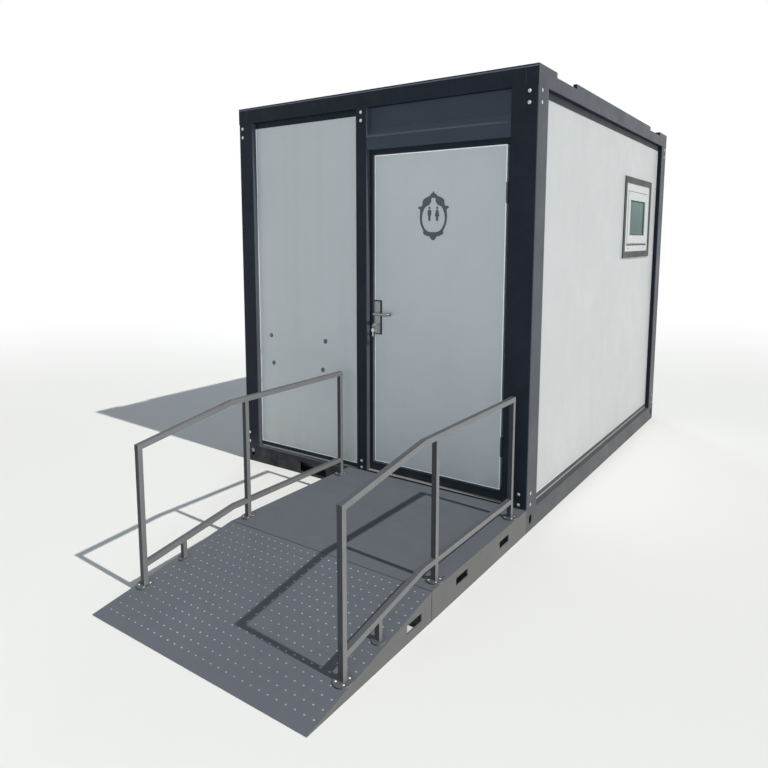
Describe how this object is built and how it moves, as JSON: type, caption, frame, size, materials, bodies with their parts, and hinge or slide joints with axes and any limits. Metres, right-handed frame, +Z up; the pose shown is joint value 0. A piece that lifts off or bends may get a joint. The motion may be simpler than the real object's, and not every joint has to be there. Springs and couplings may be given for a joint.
{
  "type": "accessible portable toilet",
  "caption": "Steel-framed sandwich-panel toilet cabin with a hinged door, tilting window, level landing, ramp and handrails, fitted with a WC, basin and support rails.",
  "frame": {"origin": "centre of the whole footprint, on the ground", "axes": "+Z up, +Y from the ramp's toe towards the cabin's rear wall, +X to the right for someone who faces the door"},
  "size_m": [2.18, 4.72, 2.5],
  "materials": {
    "frame_paint": "satin",
    "panel_paint": "satin",
    "floor_vinyl": "matte",
    "roof_sheet": "satin",
    "deck_paint": "satin",
    "rail_paint": "satin",
    "brushed_steel": "satin",
    "chrome": "polished",
    "white_plastic": "gloss",
    "light_diffuser": "matte",
    "ceramic": "gloss",
    "window_glass": "gloss",
    "mirror": "polished",
    "paper": "matte"
  },
  "bodies": {
    "cabin": {"base_beam_front": "frame_paint", "base_beam_rear": "frame_paint", "base_side_left": "frame_paint", "base_side_right": "frame_paint", "ceiling_light": "light_diffuser", "cistern": "ceramic", "corner_post_front_left": "frame_paint", "corner_post_front_right": "frame_paint", "corner_post_rear_left": "frame_paint", "corner_post_rear_right": "frame_paint", "door_frame": "frame_paint", "floor_panel": "floor_vinyl", "fold_rail_bracket": "brushed_steel", "front_panel": "panel_paint", "grab_rail": "brushed_steel", "handrail_left": "rail_paint", "handrail_right": "rail_paint", "header_canopy": "frame_paint", "hinge_frame_lower": "brushed_steel", "hinge_frame_upper": "brushed_steel", "landing_deck": "deck_paint", "left_wall_panel": "panel_paint", "mid_post": "frame_paint", "mirror": "mirror", "paper_holder": "brushed_steel", "ramp_deck": "deck_paint", "rear_wall_panel": "panel_paint", "right_wall_panel": "panel_paint", "roof_beam_front": "frame_paint", "roof_beam_rear": "frame_paint", "roof_panel": "roof_sheet", "roof_side_left": "frame_paint", "roof_side_right": "frame_paint", "seat_hinge": "chrome", "switch_plate": "white_plastic", "tap_body": "chrome", "toilet_pan": "ceramic", "wash_basin": "ceramic", "window_frame": "white_plastic", "window_trim": "frame_paint"},
    "door": {"door_leaf": "panel_paint", "hinge_door_lower": "brushed_steel", "hinge_door_upper": "brushed_steel", "lock_plate_outer": "brushed_steel", "lock_plate_inner": "brushed_steel"},
    "lever": {"lever_outer": "brushed_steel", "lever_inner": "brushed_steel"},
    "latch": {"latch_bolt": "brushed_steel"},
    "turn": {"thumb_turn": "brushed_steel"},
    "deadbolt": {"dead_bolt": "brushed_steel"},
    "sash": {"window_sash": "white_plastic", "window_glass": "window_glass"},
    "sash_handle": {"window_handle": "white_plastic"},
    "seat": {"toilet_seat": "white_plastic"},
    "lid": {"toilet_lid": "white_plastic"},
    "button": {"flush_button": "chrome"},
    "fold_arm": {"fold_rail": "brushed_steel"},
    "tap_handle": {"tap_lever": "chrome"},
    "roll": {"paper_roll": "paper"},
    "rocker": {"switch_rocker": "white_plastic"}
  },
  "joints": [
    {"name": "door_swing", "type": "hinge", "parent": "cabin", "child": "door", "pos_m": [0.9169, -0.516, 1.155], "axis": [0, 0, 1], "range_deg": [0, 90]},
    {"name": "lever_turn", "type": "hinge", "parent": "door", "child": "lever", "pos_m": [0.0603, -0.504, 1.155], "axis": [0, 1, 0], "range_deg": [0, 40], "stiffness_Nm_per_rad": 2, "springref_deg": -28.65},
    {"name": "latch_slide", "type": "slide", "parent": "door", "child": "latch", "axis": [1, 0, 0], "range_m": [0, 0.01]},
    {"name": "privacy_turn", "type": "hinge", "parent": "door", "child": "turn", "pos_m": [0.0603, -0.504, 1.085], "axis": [0, 1, 0], "range_deg": [0, 90]},
    {"name": "deadbolt_slide", "type": "slide", "parent": "door", "child": "deadbolt", "axis": [-1, 0, 0], "range_m": [0, 0.0115]},
    {"name": "window_tilt", "type": "hinge", "parent": "cabin", "child": "sash", "pos_m": [1.064, 1.623, 1.9735], "axis": [0, -1, 0], "range_deg": [0, 30]},
    {"name": "window_handle_turn", "type": "hinge", "parent": "sash", "child": "sash_handle", "pos_m": [1.02, 1.623, 1.6135], "axis": [1, 0, 0], "range_deg": [0, 90]},
    {"name": "seat_lift", "type": "hinge", "parent": "cabin", "child": "seat", "pos_m": [-0.545, 2.025, 0.6103], "axis": [-1, 0, 0], "range_deg": [0, 92]},
    {"name": "lid_close", "type": "hinge", "parent": "cabin", "child": "lid", "pos_m": [-0.545, 2.025, 0.6103], "axis": [-1, 0, 0], "range_deg": [-97, 0]},
    {"name": "flush_press", "type": "slide", "parent": "cabin", "child": "button", "axis": [0, 0, -1], "range_m": [0, 0.006], "stiffness_N_per_m": 400, "springref_m": -0.006},
    {"name": "fold_rail_raise", "type": "hinge", "parent": "cabin", "child": "fold_arm", "pos_m": [-0.195, 2.2207, 0.975], "axis": [-1, 0, 0], "range_deg": [0, 88]},
    {"name": "tap_turn", "type": "hinge", "parent": "cabin", "child": "tap_handle", "pos_m": [-0.61, -0.4067, 1.08], "axis": [0, 0, 1], "range_deg": [-45, 45]},
    {"name": "roll_spin", "type": "hinge", "parent": "cabin", "child": "roll", "pos_m": [-0.9247, 1.53, 0.691], "axis": [0, 1, 0], "continuous": true},
    {"name": "light_switch", "type": "hinge", "parent": "cabin", "child": "rocker", "pos_m": [0.9862, -0.23, 1.12], "axis": [0, 1, 0], "range_deg": [0, 12]}
  ],
  "couplings": [
    {"joint": "latch_slide", "follows": "lever_turn", "m_per_rad": 0.0143},
    {"joint": "deadbolt_slide", "follows": "privacy_turn", "m_per_rad": 0.0073}
  ]
}
